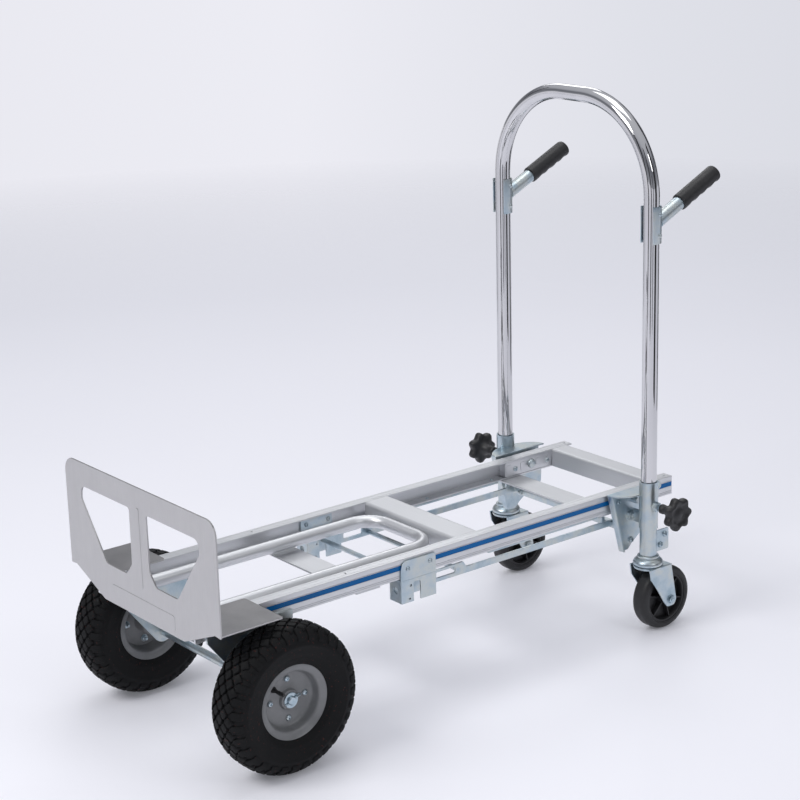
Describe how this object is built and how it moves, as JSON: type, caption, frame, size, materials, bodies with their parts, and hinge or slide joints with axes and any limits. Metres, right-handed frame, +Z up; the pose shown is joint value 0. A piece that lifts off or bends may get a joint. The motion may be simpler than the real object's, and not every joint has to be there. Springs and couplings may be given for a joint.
{
  "type": "convertible hand truck",
  "caption": "Convertible aluminium hand truck in platform mode: rail deck with nose plate, pneumatic wheels, folding U handle on swivel casters.",
  "frame": {"origin": "middle of the bounding box, on the ground under the wheels", "axes": "+X along the deck from the nose plate towards the handle, +Y across the width, +Z up"},
  "size_m": [1.1566, 0.5716, 1.0235],
  "materials": {
    "rail_aluminium": "satin anodised extrusion",
    "nose_sheet": "fine brushed satin sheet",
    "blue_stripe": "smooth inlay strip",
    "zinc_steel": "bright blue-white zinc plate",
    "chrome_tube": "polished chrome plate",
    "tyre_rubber": "knobbly pneumatic tyre",
    "caster_rubber": "matt solid rubber",
    "rim_paint": "satin grey paint",
    "black_plastic": "matt moulded nylon",
    "grip_rubber": "ribbed soft rubber"
  },
  "bodies": {
    "frame": {"rail_l": "rail_aluminium", "rail_r": "rail_aluminium", "stripe_l": "blue_stripe", "stripe_r": "blue_stripe", "stripe_end_l": "blue_stripe", "stripe_end_r": "blue_stripe", "mid_channel": "rail_aluminium", "end_channel": "rail_aluminium", "front_cross": "rail_aluminium", "rear_cross": "rail_aluminium", "under_strip_l": "zinc_steel", "under_strip_r": "zinc_steel", "nose_plate": "nose_sheet", "toe_pivot_l": "zinc_steel", "toe_pivot_r": "zinc_steel", "axle": "zinc_steel", "axle_bracket_l": "zinc_steel", "axle_bracket_r": "zinc_steel", "axle_cap_l": "zinc_steel", "axle_cap_r": "zinc_steel", "mid_bracket_l": "zinc_steel", "mid_bracket_r": "zinc_steel", "mid_clamp_l": "zinc_steel", "mid_clamp_r": "zinc_steel", "mid_rod": "zinc_steel", "inner_block_l": "rail_aluminium", "inner_block_r": "rail_aluminium", "pivot_bolt_l": "zinc_steel", "pivot_bolt_r": "zinc_steel"},
    "toe": {"toe_bar": "rail_aluminium"},
    "latch": {"latch_frame": "zinc_steel"},
    "fold": {"leg_bracket_l": "zinc_steel", "leg_bracket_r": "zinc_steel", "lower_leg_l": "zinc_steel", "lower_leg_r": "zinc_steel", "caster_cup_l": "zinc_steel", "caster_cup_r": "zinc_steel"},
    "handle_unit": {"handle": "chrome_tube", "grip_clamp_l": "zinc_steel", "grip_clamp_r": "zinc_steel", "grip_l": "grip_rubber", "grip_r": "grip_rubber"},
    "wheel_l": {"tyre_l": "tyre_rubber", "rim_l": "rim_paint", "valve_l": "grip_rubber"},
    "stud_unit_l": {"stud_l": "zinc_steel"},
    "knob_unit_l": {"knob_l": "black_plastic"},
    "swivel_l": {"fork_l": "zinc_steel", "caster_bolt_l": "zinc_steel"},
    "caster_wheel_l": {"caster_tyre_l": "caster_rubber", "caster_core_l": "black_plastic"},
    "wheel_r": {"tyre_r": "tyre_rubber", "rim_r": "rim_paint", "valve_r": "grip_rubber"},
    "stud_unit_r": {"stud_r": "zinc_steel"},
    "knob_unit_r": {"knob_r": "black_plastic"},
    "swivel_r": {"fork_r": "zinc_steel", "caster_bolt_r": "zinc_steel"},
    "caster_wheel_r": {"caster_tyre_r": "caster_rubber", "caster_core_r": "black_plastic"}
  },
  "joints": [
    {"name": "toe_fold", "type": "hinge", "parent": "frame", "child": "toe", "pos_m": [-0.55031, 0, 0.25598], "axis": [0, -1, 0], "range_deg": [0, 90]},
    {"name": "latch_slide", "type": "slide", "parent": "frame", "child": "latch", "axis": [-1, 0, 0], "range_m": [0, 0.015], "stiffness_N_per_m": 600},
    {"name": "handle_fold", "type": "hinge", "parent": "frame", "child": "fold", "pos_m": [0.40969, 0, 0.25525], "axis": [0, 1, 0], "range_deg": [0, 90]},
    {"name": "handle_slide", "type": "slide", "parent": "fold", "child": "handle_unit", "axis": [0, 0, 1], "range_m": [0, 0.06]},
    {"name": "wheel_spin_l", "type": "hinge", "parent": "frame", "child": "wheel_l", "pos_m": [-0.44831, 0.2187, 0.13], "axis": [0, 1, 0], "continuous": true},
    {"name": "knob_turn_l", "type": "hinge", "parent": "stud_unit_l", "child": "knob_unit_l", "pos_m": [0.40969, 0.2025, 0.25525], "axis": [0, 1, 0], "range_deg": [0, 1080]},
    {"name": "stud_travel_l", "type": "slide", "parent": "fold", "child": "stud_unit_l", "axis": [0, 1, 0], "range_m": [0, 0.0038]},
    {"name": "caster_swivel_l", "type": "hinge", "parent": "fold", "child": "swivel_l", "pos_m": [0.40969, 0.2025, 0.1355], "axis": [0, 0, 1], "continuous": true},
    {"name": "caster_spin_l", "type": "hinge", "parent": "swivel_l", "child": "caster_wheel_l", "pos_m": [0.44469, 0.2025, 0.0625], "axis": [0, 1, 0], "continuous": true},
    {"name": "wheel_spin_r", "type": "hinge", "parent": "frame", "child": "wheel_r", "pos_m": [-0.44831, -0.2187, 0.13], "axis": [0, 1, 0], "continuous": true},
    {"name": "knob_turn_r", "type": "hinge", "parent": "stud_unit_r", "child": "knob_unit_r", "pos_m": [0.40969, -0.2025, 0.25525], "axis": [0, -1, 0], "range_deg": [0, 1080]},
    {"name": "stud_travel_r", "type": "slide", "parent": "fold", "child": "stud_unit_r", "axis": [0, -1, 0], "range_m": [0, 0.0038]},
    {"name": "caster_swivel_r", "type": "hinge", "parent": "fold", "child": "swivel_r", "pos_m": [0.40969, -0.2025, 0.1355], "axis": [0, 0, 1], "continuous": true},
    {"name": "caster_spin_r", "type": "hinge", "parent": "swivel_r", "child": "caster_wheel_r", "pos_m": [0.44469, -0.2025, 0.0625], "axis": [0, 1, 0], "continuous": true}
  ],
  "couplings": [
    {"joint": "stud_travel_l", "follows": "knob_turn_l", "m_per_rad": 0.00019894},
    {"joint": "stud_travel_r", "follows": "knob_turn_r", "m_per_rad": 0.00019894}
  ]
}
